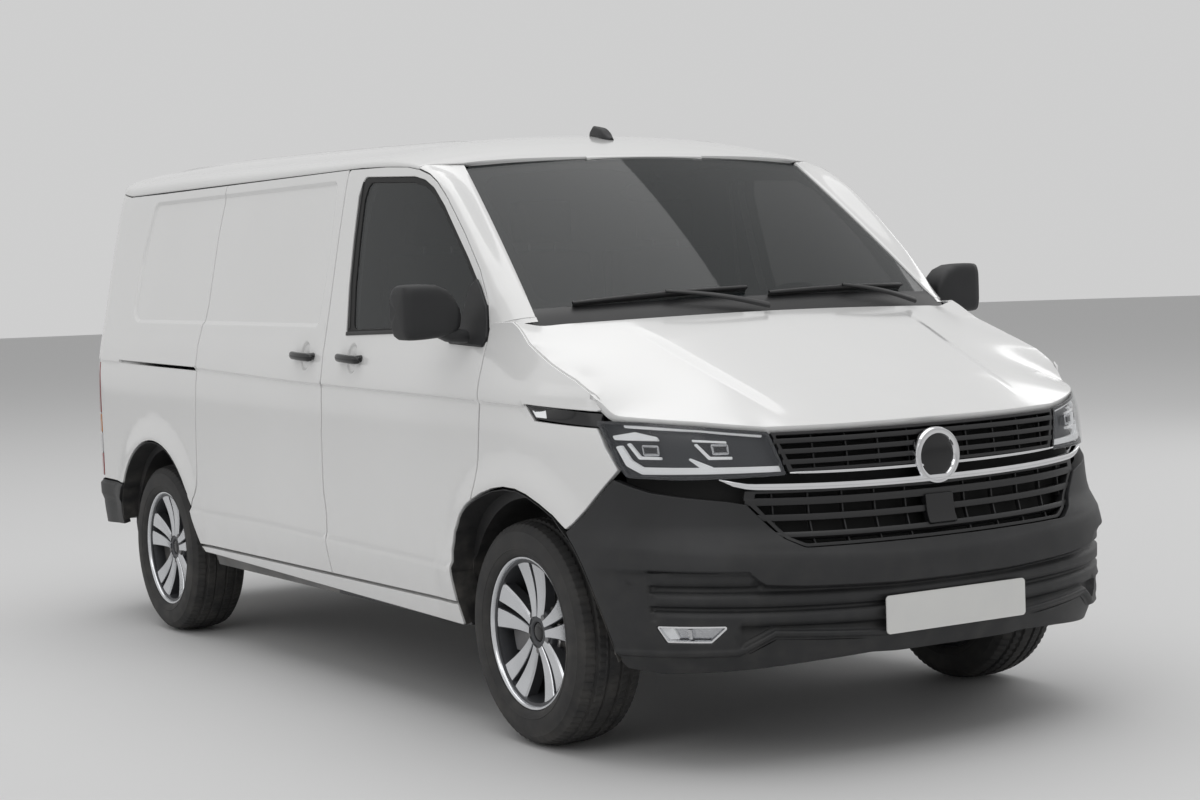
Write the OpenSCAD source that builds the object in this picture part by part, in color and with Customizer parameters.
// Mid-size panel van with a short wheelbase, twin rear doors and one sliding side door.
// X runs forwards, Y to the van's left and Z up. The origin is on the ground at the middle.

/* [Body] */
// Length over the bumpers
body_length = 4904; // [4400:4:5600]
// Half the width over the widest line of the sides
body_half_w = 952; // [880:1:1040]
// Height of the roof's middle line at its highest
roof_z = 1962; // [1800:1:2400]
// Height of the load floor above the ground
floor_z = 566; // [480:1:640]
// Distance from the front axle to the nose
front_overhang = 908; // [840:1:1000]
// Distance between the axles
wheelbase = 3000; // [2800:1:3400]
// Height of the widest line of the sides, where the belt crease runs
belt_z = 1050; // [980:1:1120]
// Thickness of a door or a side wall
wall = 58; // [40:1:75]
// Thickness of the window glass
glass = 5; // [3.5:0.5:8]
// Gap round every door and lid
shut_gap = 6; // [5:0.5:9]
// Length over which the nose rounds off in plan
nose_round = 870; // [700:1:1000]
// Radius of the rear corners in plan
tail_round = 320; // [150:1:360]

/* [Doors] */
// Distance of the front door's front edge behind the front axle
door_front = 204; // [190:1:230]
// Distance of the shut line between front and sliding door behind the front axle
door_rear = 1347; // [1300:1:1400]
// Length of the sliding door
slide_length = 1170; // [1100:1:1200]
// Height of the doors' lower edge
door_low_z = 400; // [380:1:430]
// Height of the doors' upper edge
door_top_z = 1812; // [1780:1:1830]
// Height of the front door window's lower edge
window_low_z = 1244; // [1200:1:1280]
// Width of the frame between the window and the door's rear edge
window_frame = 122; // [90:1:150]
// Half the width of the rear door opening
rear_half_w = 736; // [680:1:745]
// Height of the top of the rear doors
rear_top_z = 1862; // [1780:1:1875]

/* [Wheels] */
// Outer diameter of a tyre
tyre_d = 690; // [640:1:720]
// Width of a tyre
tyre_w = 235; // [195:1:255]
// Diameter of a wheel rim over its flanges
rim_d = 466; // [420:1:480]
// Distance of the wheels' middle planes from the van's middle
wheel_y = 814; // [780:1:830]
// Radius of the wheel arch openings
arch_r = 447; // [430:1:460]
// Distance of the steering axis inside the wheel's middle plane
king_pin = 62; // [55:1:70]
// Diameter of a brake disc
brake_d = 308; // [280:1:330]

/* [Cab] */
// Width of the driver's seat
seat_w = 510; // [460:1:540]
// Width of the passenger bench
bench_w = 860; // [780:1:900]
// Height of the seats' cushions above the cab floor
seat_h = 400; // [360:1:440]
// Outer diameter of the steering wheel
steering_d = 382; // [350:1:400]
// Angle of the steering column above the horizontal
column_tilt = 28; // [20:1:40]

/* [Mounts] */
// Width of a number plate
plate_w = 520; // [440:1:520]
// Height of a number plate
plate_h = 110; // [100:1:115]
// Diameter of the towing eye's bore
tow_d = 18; // [14:1:22]
// Depth of the towing eye's bore
tow_l = 60; // [40:1:80]

/* [Hidden] */
$fn = 96;

// Axles and ends
plate_t = 8;
nose_x = body_length / 2 - plate_t;
tail_x = -body_length / 2;
front_x = body_length / 2 - front_overhang;
rear_x = front_x - wheelbase;
wheel_z = tyre_d / 2;
axles = [front_x, rear_x];
// Room left between pieces of one body that face each other
seat_gap = 0.3;
// Height below which the side walls' outlines run on unseen
under_z = 120;
sill_low_z = 300;
sill_gap_z = door_low_z - shut_gap;
// Cab
front_door_x = front_x - door_front;
mid_door_x = front_x - door_rear;
slide_rear_x = mid_door_x - slide_length;
partition_x = mid_door_x - 130;
partition_t = 24;
cab_floor_x = partition_x + partition_t;
cab_floor_z = floor_z - 40;
firewall_x = front_x - 20;
seat_x = mid_door_x + 60;
seat_l = 560;
driver_y = 440;
steering_at = [seat_x + 790, driver_y, cab_floor_z + 670];
// Nose
screen_low = [front_x + 26, 1305];
screen_top = [front_x - 674, 1816];
screen_low_half = 791;
screen_top_half = 681;
bonnet_front = [nose_x - 97, 979];
bonnet_wall = 32;
bonnet_flange_x = nose_x - 440;
bumper_top_z = 690;
plate_z = 428;
bumper_rear_z = 590;
lamp_low_z = 620;
lamp_top_z = 1110;
lamp_front_x = tail_x + 326;
lamp_in_y = 505;
lamp_z = 850;
lamp_h = 124;
lamp_top = lamp_z + lamp_h + shut_gap;
emblem_r = 79;
emblem_z = 861;
pillar_low_z = 1262;
rear_frame_x = tail_x + 260;
rear_hinge_x = tail_x + 86;
rear_hinge_r = 71;
arch_edge = 14;
glass_depth = 18;
mirror_y = 1148;
screen_tilt = 38.1;
tow_y = 560;
tow_z = 560;
// Wheels and what carries them
king_y = wheel_y - king_pin;
rim_w = 200;
rim_seat_r = rim_d / 2 - 20;
spoke_y = 58;
disc_y = wheel_y + 12;
brake_t = 24;
housing_r = 408;
front_housing_y = 482;
rear_housing_y = 622;
strut_x = front_x - 48;
strut_y = 588;
subframe_z = 230;
arm_z = 250;
exhaust_z = 288;
upper_arm_z = 440;

white = [0.86, 0.86, 0.84];
plastic = [0.10, 0.10, 0.11];
steel = [0.45, 0.46, 0.48];
glass_tint = [0.35, 0.42, 0.44, 0.5];

// Outline helpers. A closed outline runs anticlockwise, and a negative distance grows it.
function unit(v) = v / norm(v);
function side_normal(a, b) = let (u = unit(b - a)) [-u[1], u[0]];
function inset(outline, d) = let (n = len(outline)) [for (i = [0 : n - 1])
    let (m = side_normal(outline[(i + n - 1) % n], outline[i]) + side_normal(outline[i], outline[(i + 1) % n]))
    outline[i] + 2 * d * m / (m * m)];
function flipped(half) = [for (i = [len(half) - 1 : -1 : 0]) if (half[i][0] > 0.01) [-half[i][0], half[i][1]]];
function reversed(p) = [for (i = [len(p) - 1 : -1 : 0]) p[i]];
function arc(c, r, a, b, steps) = [for (i = [0 : steps]) let (t = a + (b - a) * i / steps)
    c + r * [cos(t), sin(t)]];

// Half of the cross-section: from below the sill, over the crease, up to the roof's middle
section_half = [[body_half_w - 72, under_z], [body_half_w - 52, 250], [body_half_w - 22, 365],
    [body_half_w - 2, 520], [body_half_w, 548], [body_half_w - 8, 562], [body_half_w - 4, belt_z - 50],
    [body_half_w - 14, belt_z + 10], [body_half_w - 12, belt_z + 40], [body_half_w - 37, belt_z + 200],
    [body_half_w - 145, roof_z - 162], [body_half_w - 155, roof_z - 127], [body_half_w - 174, roof_z - 100],
    [body_half_w - 204, roof_z - 77], [body_half_w - 252, roof_z - 60], [body_half_w - 330, roof_z - 47], [body_half_w - 502, roof_z - 28],
    [body_half_w - 720, roof_z - 8], [0, roof_z]];
section = concat(section_half, flipped(section_half));

// Outline from above, half of it from the nose along the left side to the tail
nose_power = 2.9;
function nose_half(x_front) = [for (a = [0 : 7.5 : 90])
    [x_front - nose_round + nose_round * pow(cos(a), 2 / nose_power), (body_half_w + 1) * pow(sin(a), 2 / nose_power)]];
function tail_half(x_tail) = concat([[x_tail + 668, body_half_w + 1]],
    arc([x_tail + 60 + tail_round, body_half_w - 24 - tail_round], tail_round, 84, 176, 8),
    [[x_tail + 15, 300], [x_tail, 0]]);
function plan(x_front, x_tail) = let (half = concat(nose_half(x_front), tail_half(x_tail)),
    back = [for (i = [len(half) - 2 : -1 : 1]) [half[i][0], -half[i][1]]]) concat(half, back);

// Outline from the side: nose, bonnet, windscreen, roof and tail
profile = [[nose_x - 70, under_z], [nose_x - 60, 250], [nose_x - 22, 300], [nose_x, 400], [nose_x, 560],
    [nose_x - 30, 640], [nose_x - 62, 700], [nose_x - 72, 780], [nose_x - 78, 860], [nose_x - 86, 940], bonnet_front,
    [nose_x - 160, 1010], [nose_x - 300, 1062], [nose_x - 500, 1145], [nose_x - 700, 1226], screen_low,
    (screen_low + screen_top) / 2 + [9, 12], screen_top, [screen_top[0] - 90, 1852], [screen_top[0] - 204, 1884],
    [screen_top[0] - 349, roof_z - 52], [screen_top[0] - 725, roof_z - 38], [screen_top[0] - 1218, roof_z - 24],
    [tail_x + 1460, roof_z - 10], [tail_x + 840, roof_z - 1], [tail_x + 350, roof_z - 4],
    [tail_x + 160, roof_z - 18], [tail_x + 100, roof_z - 40], [tail_x + 66, roof_z - 80], [tail_x + 40, 1700],
    [tail_x + 24, 1300], [tail_x + 18, 1000], [tail_x + 18, bumper_rear_z + 2], [tail_x, bumper_rear_z - 8],
    [tail_x, under_z]];

module along_x(outline, x0, x1)
    translate([x0, 0, 0]) rotate([90, 0, 90]) linear_extrude(x1 - x0) polygon(outline);
module along_y(outline, y0 = -1200, y1 = 1200)
    translate([0, y1, 0]) rotate([90, 0, 0]) linear_extrude(y1 - y0) polygon(outline);
module along_z(outline, z0, z1) translate([0, 0, z0]) linear_extrude(z1 - z0) polygon(outline);
module block(a, b) translate(a) cube(b - a);
// The same block on both sides of the van, from y0 outwards to y1
module pair(x0, x1, y0, y1, z0, z1) for (s = [-1, 1])
    block([x0, s > 0 ? y0 : -y1, z0], [x1, s > 0 ? y1 : -y0, z1]);
// A cylinder along Y on side s, from y0 outwards to y1
module drum(x, z, r, y0, y1, s = 1)
    translate([x, s > 0 ? y1 : -y0, z]) rotate([90, 0, 0]) cylinder(r = r, h = y1 - y0);
module through_drum(x, z, r) drum(x, z, r, -1200, 1200);
// Everything outside the van's middle on side s
module half_space(s) block([tail_x - 50, s > 0 ? 0 : -1300, 0], [nose_x + 50, s > 0 ? 1300 : 0, 2300]);

// The van's full outer form, smaller by d all over. In plan it ends at x_front and x_tail
module form(d, x_front = nose_x, x_tail = tail_x + 32) intersection() {
    along_x(inset(section, d), tail_x - 10, nose_x + 10);
    along_z(inset(plan(x_front, x_tail), d), 0, roof_z + 100);
    along_y(inset(profile, d));
}
module skin(t, x_front = nose_x, x_tail = tail_x + 32) difference() {
    form(0, x_front, x_tail);
    form(t, x_front, x_tail);
}
// The room inside the hoop of the middle pillars
room_half = [[body_half_w - wall - 60, 0], [body_half_w - wall - 60, belt_z], [body_half_w - 245, roof_z - 222],
    [body_half_w - 352, roof_z - 162], [0, roof_z - wall - 54]];
room = concat(room_half, flipped(room_half));
// What lies inside the walls between x0 and x1, above z0
module inner_form(x0, x1, z0) intersection() {
    form(wall + seat_gap);
    block([x0, -1100, z0], [x1, 1100, roof_z]);
}

// Side outlines. They run anticlockwise as seen from the van's right
function arch_arc(r, a, b, steps) = arc([front_x, wheel_z], r, a, b, steps);
door_arch_r = arch_r + arch_edge + shut_gap;
door_arch_top = acos(-door_front / door_arch_r);
door_arch_low = 180 - asin((door_low_z - wheel_z) / door_arch_r);
door_outline = concat([for (p = arch_arc(door_arch_r, door_arch_low, door_arch_top, 10)) p],
    [[front_door_x, belt_z + 120], [front_door_x - 51, 1352], [front_door_x - 120, 1447],
     [front_door_x - 315, 1626], [front_door_x - 464, 1741], [front_door_x - 530, 1772],
     [front_door_x - 610, 1790], [front_door_x - 850, door_top_z - 6], [mid_door_x + 130, door_top_z],
     [mid_door_x + 50, door_top_z - 14], [mid_door_x + shut_gap / 2, door_top_z - 60],
     [mid_door_x + shut_gap / 2, door_low_z]]);
window_outline = [[front_door_x - 40, window_low_z], [front_door_x - 70, 1330], [front_door_x - 200, 1476],
    [front_door_x - 392, 1652], [front_door_x - 479, 1722], [front_door_x - 549, 1751],
    [front_door_x - 626, 1765], [mid_door_x + window_frame + 30, 1782], [mid_door_x + window_frame, 1755],
    [mid_door_x + window_frame + 10, 1560], [mid_door_x + window_frame + 40, window_low_z]];
// Rear edge of the sliding door, from its lower end up to the roof line, moved rearwards by g
function slide_edge(g) = [[slide_rear_x - g, 1040], [slide_rear_x + 6 - g, 1230], [slide_rear_x + 36 - g, 1340],
    [slide_rear_x + 40 - g, 1560], [slide_rear_x + 76 - g, door_top_z - 40]];
slide_outline = concat([[slide_rear_x, door_low_z], [mid_door_x - shut_gap / 2, door_low_z],
    [mid_door_x - shut_gap / 2, door_top_z - 14], [mid_door_x - 60, door_top_z],
    [slide_rear_x + 110, door_top_z]], reversed(slide_edge(0)));
quarter_left = [[tail_x + 10, sill_low_z], [mid_door_x - shut_gap / 2, sill_low_z],
    [mid_door_x - shut_gap / 2, door_top_z], [tail_x + 10, door_top_z]];
quarter_right = concat([[tail_x + 10, sill_low_z], [slide_rear_x - shut_gap, sill_low_z]],
    slide_edge(shut_gap), [[slide_rear_x + 100, door_top_z], [tail_x + 10, door_top_z]]);
screen_front = [[screen_low_half, screen_low[1] - 20], [screen_top_half, screen_top[1] + 6],
    [-screen_top_half, screen_top[1] + 6], [-screen_low_half, screen_low[1] - 20]];
bonnet_half = [[nose_x + 20, 0], [nose_x + 20, 760], [nose_x - 200, 868], [bonnet_flange_x, 905],
    [nose_x - 620, 884], [screen_low[0] + shut_gap, 866], [screen_low[0] + shut_gap, 0]];
bonnet_plan = concat(bonnet_half,
    [for (i = [len(bonnet_half) - 2 : -1 : 1]) [bonnet_half[i][0], -bonnet_half[i][1]]]);

// The bonnet from the side. Its flanges start at bonnet_flange_x and stand on the headlamps
bonnet_side = [[nose_x, lamp_top], [nose_x, 1400], [front_x, 1400], [front_x, 1205],
    [bonnet_flange_x, 1050], [bonnet_flange_x, lamp_top]];
module bonnet_room(g) intersection() {
    along_z(inset(bonnet_plan, -g), 900, 1500);
    along_y(inset(bonnet_side, -g));
}

module side_slab(outline, s) intersection() {
    skin(wall);
    along_y(outline);
    half_space(s);
}
module wheel_openings() for (x = axles) through_drum(x, wheel_z, arch_r);

module front_door(s) color(white) difference() {
    side_slab(door_outline, s);
    along_y(window_outline);
}
module door_glass(s) color(glass_tint) intersection() {
    difference() {
        form(glass_depth);
        form(glass_depth + glass);
    }
    along_y(inset(window_outline, seat_gap));
    half_space(s);
}
module sliding_door() color(white) side_slab(slide_outline, -1);

// Rear quarter of one side; on the left it also closes the place of a sliding door
module side_panel(s) color(white) difference() {
    side_slab(s > 0 ? quarter_left : quarter_right, s);
    wheel_openings();
    block([tail_x - 10, -1100, 0], [rear_x, 1100, bumper_rear_z]);
    block([tail_x - 10, -1100, lamp_low_z - seat_gap], [lamp_front_x + seat_gap, 1100, lamp_top_z + seat_gap]);
    rear_door_room(shut_gap / 2);
}
// The space of both rear doors, wider by g
module rear_door_room(g) block([tail_x - 10, -rear_half_w - g, 0],
    [tail_x + 500, rear_half_w + g, rear_top_z + g]);
module tail_lamps() color([0.5, 0.03, 0.03]) intersection() {
    skin(wall);
    pair(tail_x - 10, lamp_front_x, rear_half_w + shut_gap / 2 + seat_gap, 1100, lamp_low_z, lamp_top_z);
}
module rear_door(s) color(white) intersection() {
    skin(wall);
    half_space(s);
    pair(tail_x - 10, rear_hinge_x + 66, shut_gap / 2, rear_half_w - shut_gap / 2, bumper_rear_z,
        rear_top_z - shut_gap / 2);
}
module roof() color(white) difference() {
    intersection() {
        skin(wall);
        block([tail_x - 10, -1100, door_top_z + shut_gap + seat_gap], [screen_top[0] + 2, 1100, 2200]);
    }
    block([tail_x - 10, -rear_half_w - shut_gap / 2, 0], [tail_x + 300, rear_half_w + shut_gap / 2, rear_top_z + shut_gap / 2]);
}
module windscreen() color(glass_tint) intersection() {
    difference() {
        form(0);
        form(glass);
    }
    along_x(screen_front, screen_top[0] + 2 + seat_gap, screen_low[0] + 4);
}

// Sills, windscreen pillars, and the hoops of the middle pillars and the rear doorway
module side_frames() color(white) {
    for (s = [-1, 1]) difference() {
        intersection() {
            skin(wall);
            half_space(s);
            block([screen_top[0] - 180, -1100, pillar_low_z], [screen_low[0] + 60, 1100, door_top_z + shut_gap]);
        }
        along_y(inset(door_outline, -shut_gap));
        along_x(inset(screen_front, -seat_gap), 0, nose_x);
        along_z(inset(bonnet_plan, -shut_gap), 900, 1500);
    }
    for (s = [-1, 1]) difference() {
        intersection() {
            skin(wall);
            half_space(s);
            block([s > 0 ? mid_door_x + shut_gap / 2 : slide_rear_x, -1100, sill_low_z], [front_x - 300, 1100, sill_gap_z]);
        }
        wheel_openings();
    }
    difference() {
        inner_form(mid_door_x - 70, mid_door_x + 70, cab_floor_z + seat_gap);
        along_x(room, mid_door_x - 71, mid_door_x + 71);
    }
    difference() {
        inner_form(tail_x, rear_frame_x, floor_z - 39 + seat_gap);
        block([tail_x, -rear_half_w + 35, floor_z + seat_gap], [rear_frame_x + 1, rear_half_w - 35, rear_top_z - 30]);
        for (s = [-1, 1]) translate([rear_hinge_x, s * rear_half_w, bumper_rear_z - shut_gap])
            cylinder(r = rear_hinge_r, h = rear_top_z - bumper_rear_z + 2 * shut_gap);
    }
}
module fenders() color(white) difference() {
    intersection() {
        skin(wall);
        pair(front_door_x - 280, bonnet_flange_x - shut_gap, 560, 1100, sill_low_z, pillar_low_z - seat_gap);
    }
    along_y(inset(door_outline, -shut_gap));
    block([tail_x, -1100, 0], [front_x, 1100, door_low_z - shut_gap + seat_gap]);
    through_drum(front_x, wheel_z, arch_r);
    bonnet_room(shut_gap);
    lamp_room(seat_gap);
    bumper_room(shut_gap);
}
module bonnet() color(white) intersection() {
    skin(bonnet_wall);
    bonnet_room(0);
}

// Room that the headlamps and the bumper take from the nose, grown by g
module lamp_room(g) pair(nose_x - 486 - g, nose_x + 20, lamp_in_y - g, 1100, lamp_z - g, lamp_z + lamp_h + g);
module bumper_room(g) {
    along_y([[front_x + 284 - g, 0], [nose_x + 20, 0], [nose_x + 20, bumper_top_z + g],
        [front_x + 297 - g, bumper_top_z + g]]);
    intersection() {
        along_y([[front_x + 290 - g, bumper_top_z - 1], [nose_x + 20, bumper_top_z - 1],
            [nose_x + 20, lamp_z - seat_gap], [front_x + 466 - g, lamp_z - seat_gap]]);
        pair(front_x, nose_x + 20, lamp_in_y, 1100, 0, lamp_z);
    }
}
module headlamps() color([0.75, 0.77, 0.8]) difference() {
    intersection() {
        skin(wall, nose_x - 60);
        lamp_room(0);
    }
    bumper_room(seat_gap);
}
module grille() color(plastic) difference() {
    intersection() {
        skin(36, nose_x - 60);
        block([nose_x - 300, -lamp_in_y + seat_gap, bumper_top_z + seat_gap], [nose_x, lamp_in_y - seat_gap, lamp_z + lamp_h]);
    }
    for (z = [bumper_top_z + 30 : 36 : 950]) block([nose_x - 400, -lamp_in_y + 30, z], [nose_x, lamp_in_y - 30, z + 22]);
}
module emblem_disc() color([0.8, 0.8, 0.82]) translate([nose_x - 72, 0, emblem_z]) rotate([0, 90, 0])
    cylinder(r = emblem_r, h = 14);
module front_bumper() color(plastic) difference() {
    intersection() {
        skin(wall);
        block([front_x + 150, -1100, 250], [nose_x + 10, 1100, 900]);
        bumper_room(0);
    }
    through_drum(front_x, wheel_z, arch_r);
    translate([nose_x - 200, -tow_y, tow_z]) rotate([0, 90, 0]) cylinder(d = tow_d, h = 250);
}
module front_plate() color("white") block([nose_x + seat_gap, -plate_w / 2, plate_z - plate_h / 2],
    [nose_x + 8, plate_w / 2, plate_z + plate_h / 2]);
module rear_bumper() color(plastic) difference() {
    intersection() {
        skin(wall, nose_x, tail_x);
        block([tail_x - 10, -1100, 340], [rear_x + 30, 1100, bumper_rear_z - shut_gap]);
    }
    through_drum(rear_x, wheel_z, arch_r);
}

// Inner housing of a wheel on side s: a closed arch with a flange that carries the outer panels
module housing(x, y0, s) difference() {
    intersection() {
        union() {
            drum(x, wheel_z, housing_r + 10, y0, 1000, s);
            drum(x, wheel_z, arch_r + arch_edge, 866, 1000, s);
        }
        form(wall + seat_gap);
        block([x - 600, -1100, wheel_z - 20], [x + 600, 1100, 1000]);
    }
    drum(x, wheel_z, housing_r, y0 + 10, 1000, s);
    drum(x, wheel_z, 190, y0 - 10, 1000, s);
    pair(x - 310, x + 310, y0 - 10, y0 + 11, 0, wheel_z + 62);
}
// A floor from x0 to x1 with its top at z, its two rails and the members inside the sills
module floor_part(x0, x1, z, rail_x0, rail_x1, sill_x0, sill_x1) difference() {
    union() {
        intersection() {
            form(wall + seat_gap);
            union() {
                block([x0, -1000, z - 40], [x1, 1000, z]);
                pair(sill_x0, sill_x1, 800, 1000, sill_low_z + 10, z - 39);
            }
        }
        pair(rail_x0, rail_x1, 390, 470, floor_z - 150, z - 39);
    }
    for (s = [-1, 1]) {
        drum(rear_x, wheel_z, housing_r + 10 + seat_gap, rear_housing_y - seat_gap, 1200, s);
        drum(rear_x, wheel_z, arch_r + arch_edge + seat_gap, 866 - seat_gap, 1200, s);
        drum(front_x, wheel_z, arch_r + arch_edge + seat_gap, front_housing_y - seat_gap, 1200, s);
    }
}
module floor_pan() color(white) floor_part(rear_frame_x + seat_gap, cab_floor_x, floor_z,
    tail_x + 150, cab_floor_x, rear_x + 300, cab_floor_x);
module rear_housings() color(white) for (s = [-1, 1]) housing(rear_x, rear_housing_y, s);
module cab_floor() color(white) floor_part(cab_floor_x + seat_gap, firewall_x - seat_gap, cab_floor_z,
    cab_floor_x + seat_gap, firewall_x - 300, cab_floor_x + seat_gap, front_x - 300);
module front_structure() color(white) {
    difference() {
        union() {
            for (s = [-1, 1]) housing(front_x, front_housing_y, s);
            block([firewall_x, -820, 780], [firewall_x + 18, 820, 1190]);
            block([firewall_x, -front_housing_y - 5, cab_floor_z - 40], [firewall_x + 18, front_housing_y + 5, 781]);
            block([firewall_x - 75, -780, 1189], [firewall_x + 20, 780, 1238]);
            pair(firewall_x - 300 + seat_gap, nose_x - 211, 390, 470, floor_z - 150, cab_floor_z - 40 - seat_gap);
        }
        for (s = [-1, 1]) translate([strut_x, s * strut_y, 600]) cylinder(r = 45, h = 300);
    }
    intersection() {
        form(bonnet_wall + seat_gap);
        block([nose_x - 212, -470, 380], [nose_x - 182, 470, 1100]);
    }
    intersection() {
        form(wall + seat_gap);
        block([nose_x - 183, -520, 460], [nose_x, 520, 560]);
    }
}
module partition() color([0.6, 0.61, 0.62]) intersection() {
    form(wall + 2 * seat_gap);
    block([partition_x, -1100, floor_z + seat_gap], [partition_x + partition_t, 1100, 2200]);
}
module dashboard() color(plastic) {
    along_y([[firewall_x - 380, 1080], [firewall_x - 330, 900], [firewall_x - 200, 860], [firewall_x - seat_gap, 900],
        [firewall_x - seat_gap, 1188], [firewall_x - 80, 1188], [firewall_x - 200, 1255], [firewall_x - 330, 1230]], -740, 740);
    translate(steering_at) rotate([0, 90 + column_tilt, 0]) translate([0, 0, 34 + seat_gap]) cylinder(r = 34, h = 150);
}
module steering_wheel() color(plastic) translate(steering_at) rotate([0, 90 + column_tilt, 0]) {
    rotate_extrude() translate([steering_d / 2 - 15, 0]) circle(r = 15);
    cylinder(r = 62, h = 34);
    for (a = [0, 90, 180]) rotate([0, 0, a - 90]) translate([40, -16, 2]) cube([steering_d / 2 - 55, 32, 14]);
}
// A seat of width w: plinth, cushion, backrest and one headrest for each place
module seat(w, y, places) color([0.2, 0.2, 0.22]) translate([seat_x, y, cab_floor_z + seat_gap]) {
    translate([60, -w / 2 + 30, 0]) cube([seat_l - 120, w - 60, seat_h - 130]);
    translate([0, -w / 2, seat_h - 131]) cube([seat_l, w, 131]);
    translate([0, -w / 2, seat_h - 1]) cube([110, w, 600]);
    for (i = [0 : places - 1]) translate([10, (i + 0.5) * w / places - w / 2 - 120, seat_h + 598]) cube([90, 240, 170]);
}
module driver_seat() seat(seat_w, driver_y, 1);
module passenger_bench() seat(bench_w, -bench_w / 2 + 120, 2);
module engine_block() color(steel) block([front_x + 96, -330, subframe_z + 70 + seat_gap], [nose_x - 272, 330, 900]);

// Cross-member, arms, struts and drive shafts of the front wheels
module front_subframe() color(steel) {
    block([front_x - 150, -380, subframe_z], [front_x + 190, 380, subframe_z + 70]);
    pair(front_x - 130, front_x - 70, 390, 470, subframe_z, floor_z - 150 - seat_gap);
    pair(front_x - 150, front_x + 150, 379, 471, subframe_z, subframe_z + 40);
    pair(front_x - 75, front_x + 28, 470, king_y + 26, arm_z - 24, arm_z);
    for (s = [-1, 1]) {
        translate([strut_x, s * strut_y, arm_z - 1]) cylinder(r = 26, h = 640);
        drum(front_x, wheel_z, 14, 350, king_y - 68, s);
    }
    pair(front_x - 32, front_x + 32, 331, 378, subframe_z + 69, wheel_z + 32);
    pair(strut_x - 10, front_x + 28, strut_y, king_y + 26, upper_arm_z, upper_arm_z + 20);
}
// Steering knuckle with its caliper and the hub that carries the wheel
module knuckle(s) color(steel) {
    translate([front_x, s * king_y, arm_z + seat_gap]) cylinder(r = 27, h = upper_arm_z - arm_z - 2 * seat_gap);
    drum(front_x, wheel_z, 55, king_y - 40, disc_y - 6 - seat_gap, s);
    caliper(front_x, s);
}
// Brake caliper behind the hub, with an arm to it, astride the disc
module caliper(x, s) difference() {
    union() {
        intersection() {
            drum(x, wheel_z, brake_d / 2 + 24, disc_y - 20, disc_y + brake_t + 12, s);
            block([x - 200, -1100, wheel_z - 75], [x - 80, 1100, wheel_z + 75]);
        }
        block([x - 110, s > 0 ? disc_y - 30 : -disc_y + 15, wheel_z - 30], [x, s > 0 ? disc_y - 15 : -disc_y + 30, wheel_z + 30]);
    }
    drum(x, wheel_z, brake_d / 2 + 5, disc_y - 5, disc_y + brake_t + 5, s);
}
module rear_suspension() color(steel) {
    block([rear_x + 160, -560, wheel_z - 20], [rear_x + 280, 560, floor_z - 150 - seat_gap]);
    for (s = [-1, 1]) {
        block([rear_x - 60, s > 0 ? 520 : -680, wheel_z - 45], [rear_x + 281, s > 0 ? 680 : -520, wheel_z + 55]);
        drum(rear_x, wheel_z, 55, 600, disc_y - 6 - seat_gap, s);
        translate([rear_x + 60, s * 560, wheel_z + 54]) cylinder(r = 45, h = floor_z - 40 - seat_gap - wheel_z - 54);
        caliper(rear_x, s);
    }
}

// One wheel, with its middle plane at Y = 0 and its outer face towards +Y
module tyre_form() rotate([-90, 0, 0]) rotate_extrude() polygon([
    [rim_seat_r + seat_gap, -rim_w / 2 + 8.3], [rim_d / 2 + seat_gap, -rim_w / 2 + 8.3],
    [rim_d / 2 + seat_gap, -tyre_w / 2 + 16], [rim_d / 2 + 18, -tyre_w / 2 + 5], [tyre_d / 2 - 55, -tyre_w / 2],
    [tyre_d / 2 - 28, -tyre_w / 2 + 5], [tyre_d / 2 - 7, -tyre_w / 2 + 24], [tyre_d / 2, -tyre_w / 2 + 48],
    [tyre_d / 2, tyre_w / 2 - 48], [tyre_d / 2 - 7, tyre_w / 2 - 24], [tyre_d / 2 - 28, tyre_w / 2 - 5],
    [tyre_d / 2 - 55, tyre_w / 2], [rim_d / 2 + 18, tyre_w / 2 - 5], [rim_d / 2 + seat_gap, tyre_w / 2 - 16],
    [rim_d / 2 + seat_gap, rim_w / 2 - 8.3], [rim_seat_r + seat_gap, rim_w / 2 - 8.3]]);
spokes = 5;
module rim_form() {
    rotate([-90, 0, 0]) rotate_extrude() polygon([
        [rim_seat_r - 8, -rim_w / 2], [rim_d / 2, -rim_w / 2], [rim_d / 2, -rim_w / 2 + 8],
        [rim_seat_r, -rim_w / 2 + 8], [rim_seat_r, rim_w / 2 - 8], [rim_d / 2, rim_w / 2 - 8],
        [rim_d / 2, rim_w / 2], [rim_seat_r - 8, rim_w / 2]]);
    difference() {
        drum(0, 0, rim_seat_r - 6, spoke_y, spoke_y + 24);
        for (i = [0 : spokes - 1]) rotate([0, 360 / spokes * i, 0]) {
            along_y([[-62, 196], [-14, 80], [14, 80], [62, 196]], 0, 200);
        }
        for (i = [0 : spokes - 1]) rotate([0, 360 / spokes * (i + 0.5), 0]) {
            along_y([[-16, 180], [-5, 90], [5, 90], [16, 180]], 0, 200);
        }
    }
    drum(0, 0, 72, disc_y - 6 - wheel_y, spoke_y + 1);
    drum(0, 0, brake_d / 2, disc_y - wheel_y, disc_y + brake_t - wheel_y);
}
module wheel_place(x, s) translate([x, s * wheel_y, wheel_z]) mirror([0, s > 0 ? 0 : 1, 0]) children();
module tyre(x, s) color([0.05, 0.05, 0.05]) wheel_place(x, s) tyre_form();
module rim(x, s) color([0.7, 0.71, 0.73]) wheel_place(x, s) rim_form();

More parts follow.
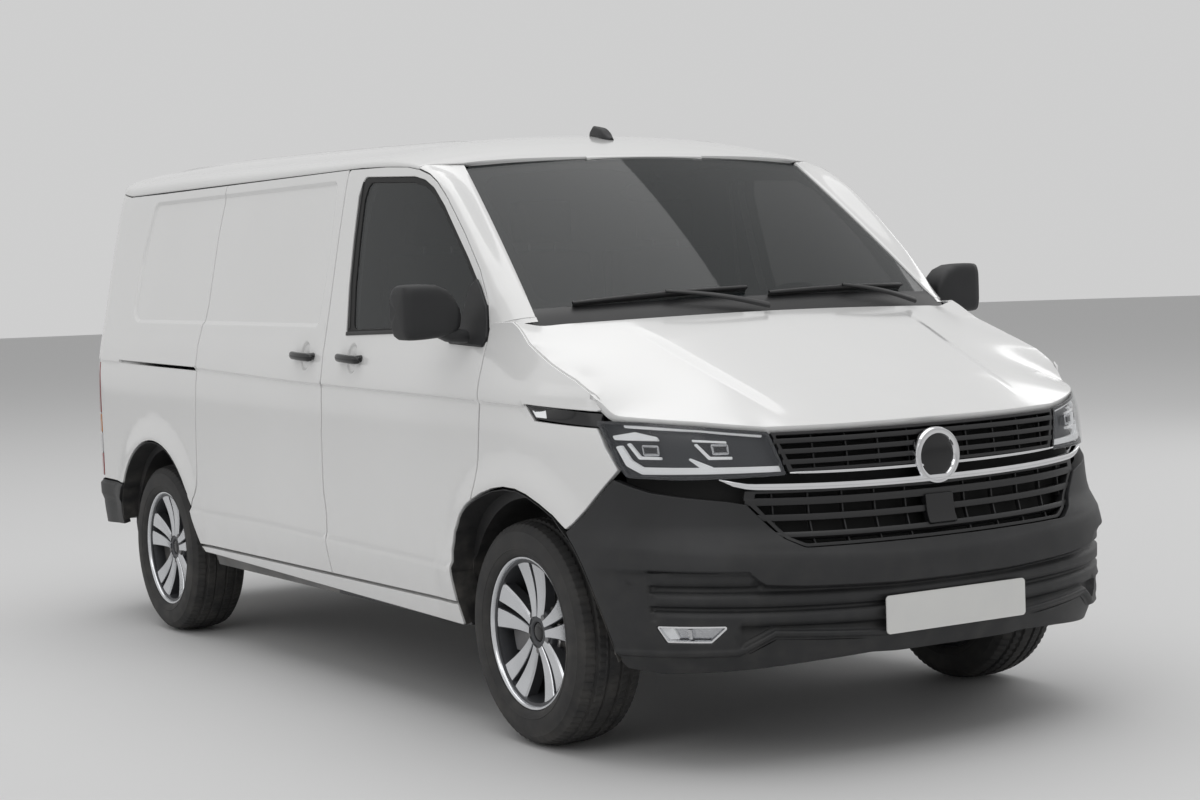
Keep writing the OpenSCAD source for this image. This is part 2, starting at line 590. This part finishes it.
module mirror_housing(s) color(plastic) difference() {
    mirror([0, s > 0 ? 0 : 1, 0]) {
        hull() for (y = [975, mirror_y - 26], z = [1272, 1384]) translate([front_door_x - 100, y, z])
            rotate([0, 90, 0]) cylinder(r = y > 1000 ? 26 : 24, h = 96, center = true, $fn = 32);
        block([front_door_x - 150, 900, 1216], [front_door_x - 60, 1010, 1262]);
    }
    form(-seat_gap);
}
module wipers() color(plastic) for (y = [-330, 270]) translate([screen_low[0], y, screen_low[1]])
    rotate([0, screen_tilt, 0]) {
        translate([-95, -300, seat_gap]) cube([12, 600, 18]);
        translate([-97, -220, 18]) cube([67, 16, 8]);
    }
module roof_antenna() color(plastic) translate([screen_top[0] - 276, 0, (1884 + roof_z - 52) / 2])
    rotate([0, 10.2, 0]) translate([0, 0, seat_gap]) hull() for (x = [-55, 55])
        translate([x, 0, 0]) cylinder(r1 = 28, r2 = x < 0 ? 14 : 10, h = x < 0 ? 34 : 18, $fn = 32);
module exhaust() color(steel) {
    block([tail_x + 330, -600, exhaust_z - 20], [tail_x + 700, -400, floor_z - 150 - seat_gap]);
    translate([tail_x + 60, -520, exhaust_z]) rotate([0, 90, 0]) cylinder(d = 50, h = 275);
    translate([tail_x + 699, -440, exhaust_z]) rotate([0, 90, 0]) cylinder(d = 50, h = 1900);
}

floor_pan();
rear_housings();
cab_floor();
front_structure();
side_frames();
roof();
side_panel(1);  // side_panel_left
side_panel(-1);  // side_panel_right
fenders();
front_bumper();
grille();
emblem_disc();
headlamps();
windscreen();
sliding_door();
front_plate();
rear_bumper();
tail_lamps();
partition();
dashboard();
driver_seat();
passenger_bench();
engine_block();
front_subframe();
rear_suspension();
wipers();
roof_antenna();
exhaust();
bonnet();
front_door(1);  // front_door_left
front_door(-1);  // front_door_right
door_glass(1);  // door_glass_left
door_glass(-1);  // door_glass_right
mirror_housing(1);  // mirror_left
mirror_housing(-1);  // mirror_right
rear_door(1);  // rear_door_left
rear_door(-1);  // rear_door_right
steering_wheel();
knuckle(1);  // knuckle_left
knuckle(-1);  // knuckle_right
tyre(front_x, 1);  // tyre_front_left
tyre(front_x, -1);  // tyre_front_right
tyre(rear_x, 1);  // tyre_rear_left
tyre(rear_x, -1);  // tyre_rear_right
rim(front_x, 1);  // rim_front_left
rim(front_x, -1);  // rim_front_right
rim(rear_x, 1);  // rim_rear_left
rim(rear_x, -1);  // rim_rear_right
